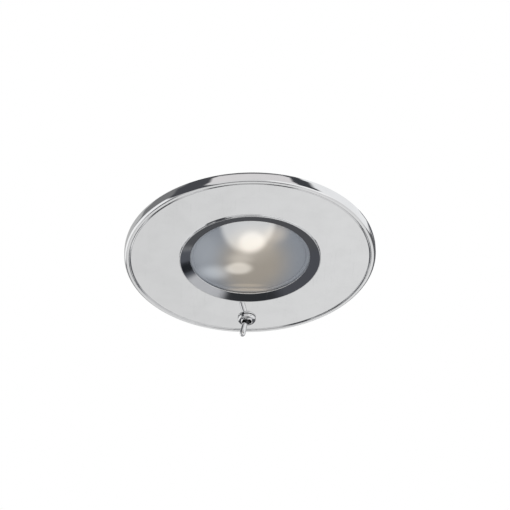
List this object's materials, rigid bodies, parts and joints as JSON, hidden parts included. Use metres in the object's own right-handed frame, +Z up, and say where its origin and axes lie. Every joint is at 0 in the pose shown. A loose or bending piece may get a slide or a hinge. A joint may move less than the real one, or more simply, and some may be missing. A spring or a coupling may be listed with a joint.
{
  "type": "recessed cabin downlight with toggle switch",
  "caption": "Round recessed 12 V cabin downlight: polished rimmed face plate, conical twist-lock bezel with frosted glass, toggle switch in the plate, spring clips behind.",
  "frame": {"origin": "centre of the ceiling cut-out, in the plane of the ceiling's visible face", "axes": "+Z up into the ceiling, the face looks down along -Z, the toggle switch is on +Y"},
  "size_m": [0.13, 0.13, 0.0492],
  "materials": {
    "polished_chrome": "mirror polished",
    "zinc_steel": "zinc plated, satin",
    "spring_steel": "drawn wire",
    "bright_aluminium": "bright anodised",
    "frosted_glass": "acid frosted inside",
    "quartz": "clear",
    "tungsten": "coiled wire",
    "ceramic": "unglazed ceramic",
    "foam_rubber": "closed-cell foam",
    "black_rubber": "moulded",
    "red_phenolic": "moulded",
    "natural_nylon": "moulded",
    "brass": "tinned and plain brass",
    "silver_contact": "silver plated",
    "red_insulation": "extruded",
    "black_insulation": "extruded"
  },
  "bodies": {
    "fixture": {"block_screw": "zinc_steel", "bracket_rivet": "zinc_steel", "bulb_envelope": "quartz", "bulb_filament": "tungsten", "bulb_pin_left": "zinc_steel", "bulb_pin_right": "zinc_steel", "bulb_pinch": "quartz", "clip_bracket_left": "zinc_steel", "clip_bracket_right": "zinc_steel", "clip_pin_left": "zinc_steel", "clip_pin_right": "zinc_steel", "clip_rivet_left": "zinc_steel", "clip_rivet_right": "zinc_steel", "dress_nut": "polished_chrome", "holder_bracket": "zinc_steel", "holder_screw": "zinc_steel", "housing_grommet": "black_rubber", "housing_nut_a": "zinc_steel", "housing_nut_b": "zinc_steel", "housing_nut_c": "zinc_steel", "housing_stud_a": "zinc_steel", "housing_stud_b": "zinc_steel", "housing_stud_c": "zinc_steel", "lamp_holder": "ceramic", "lamp_housing": "zinc_steel", "lead_feed": "red_insulation", "lead_return": "black_insulation", "lead_strap": "zinc_steel", "lead_switched": "red_insulation", "lock_washer": "zinc_steel", "rear_nut": "zinc_steel", "reflector": "bright_aluminium", "reflector_nut_left": "zinc_steel", "reflector_nut_right": "zinc_steel", "reflector_screw_left": "zinc_steel", "reflector_screw_right": "zinc_steel", "reflector_spacer_left": "bright_aluminium", "reflector_spacer_right": "bright_aluminium", "rim_gasket": "foam_rubber", "switch_body": "red_phenolic", "switch_bushing": "polished_chrome", "switch_frame": "zinc_steel", "switch_terminal_common": "brass", "switch_terminal_switched": "brass", "terminal_block": "natural_nylon", "terminal_screw_left": "zinc_steel", "terminal_screw_right": "zinc_steel", "terminal_sleeve_left": "brass", "terminal_sleeve_right": "brass", "trim_plate": "polished_chrome"},
    "lens_unit": {"lens": "frosted_glass", "lens_gasket": "black_rubber", "lens_circlip": "spring_steel"},
    "bezel_ring": {"bezel": "polished_chrome"},
    "toggle": {"toggle_lever": "polished_chrome", "switch_plunger": "zinc_steel"},
    "rocker": {"contact_rocker": "silver_contact"},
    "clip_left": {"clip_spring_left": "spring_steel"},
    "clip_right": {"clip_spring_right": "spring_steel"}
  },
  "joints": [
    {"name": "lens_travel", "type": "slide", "parent": "fixture", "child": "lens_unit", "axis": [0, 0, -1], "range_m": [0, 0.0015]},
    {"name": "bezel_turn", "type": "hinge", "parent": "lens_unit", "child": "bezel_ring", "pos_m": [0, 0, -0.005], "axis": [0, 0, -1], "range_deg": [0, 60]},
    {"name": "toggle_tilt", "type": "hinge", "parent": "fixture", "child": "toggle", "pos_m": [0, 0.052, -0.0044], "axis": [0, -1, 0], "range_deg": [0, 25]},
    {"name": "rocker_tilt", "type": "hinge", "parent": "fixture", "child": "rocker", "pos_m": [0, 0.052, 0.004], "axis": [0, 1, 0], "range_deg": [0, 16.1]},
    {"name": "clip_right_fold", "type": "hinge", "parent": "fixture", "child": "clip_right", "pos_m": [0.0425, 0, 0.006], "axis": [0, -1, 0], "range_deg": [0, 95], "stiffness_Nm_per_rad": 0.02, "springref_deg": -28.65},
    {"name": "clip_left_fold", "type": "hinge", "parent": "fixture", "child": "clip_left", "pos_m": [-0.0425, 0, 0.006], "axis": [0, 1, 0], "range_deg": [0, 95], "stiffness_Nm_per_rad": 0.02, "springref_deg": -28.65}
  ],
  "couplings": [
    {"joint": "lens_travel", "follows": "bezel_turn", "m_per_rad": 0.00143},
    {"joint": "rocker_tilt", "follows": "toggle_tilt", "ratio": 0.64}
  ]
}
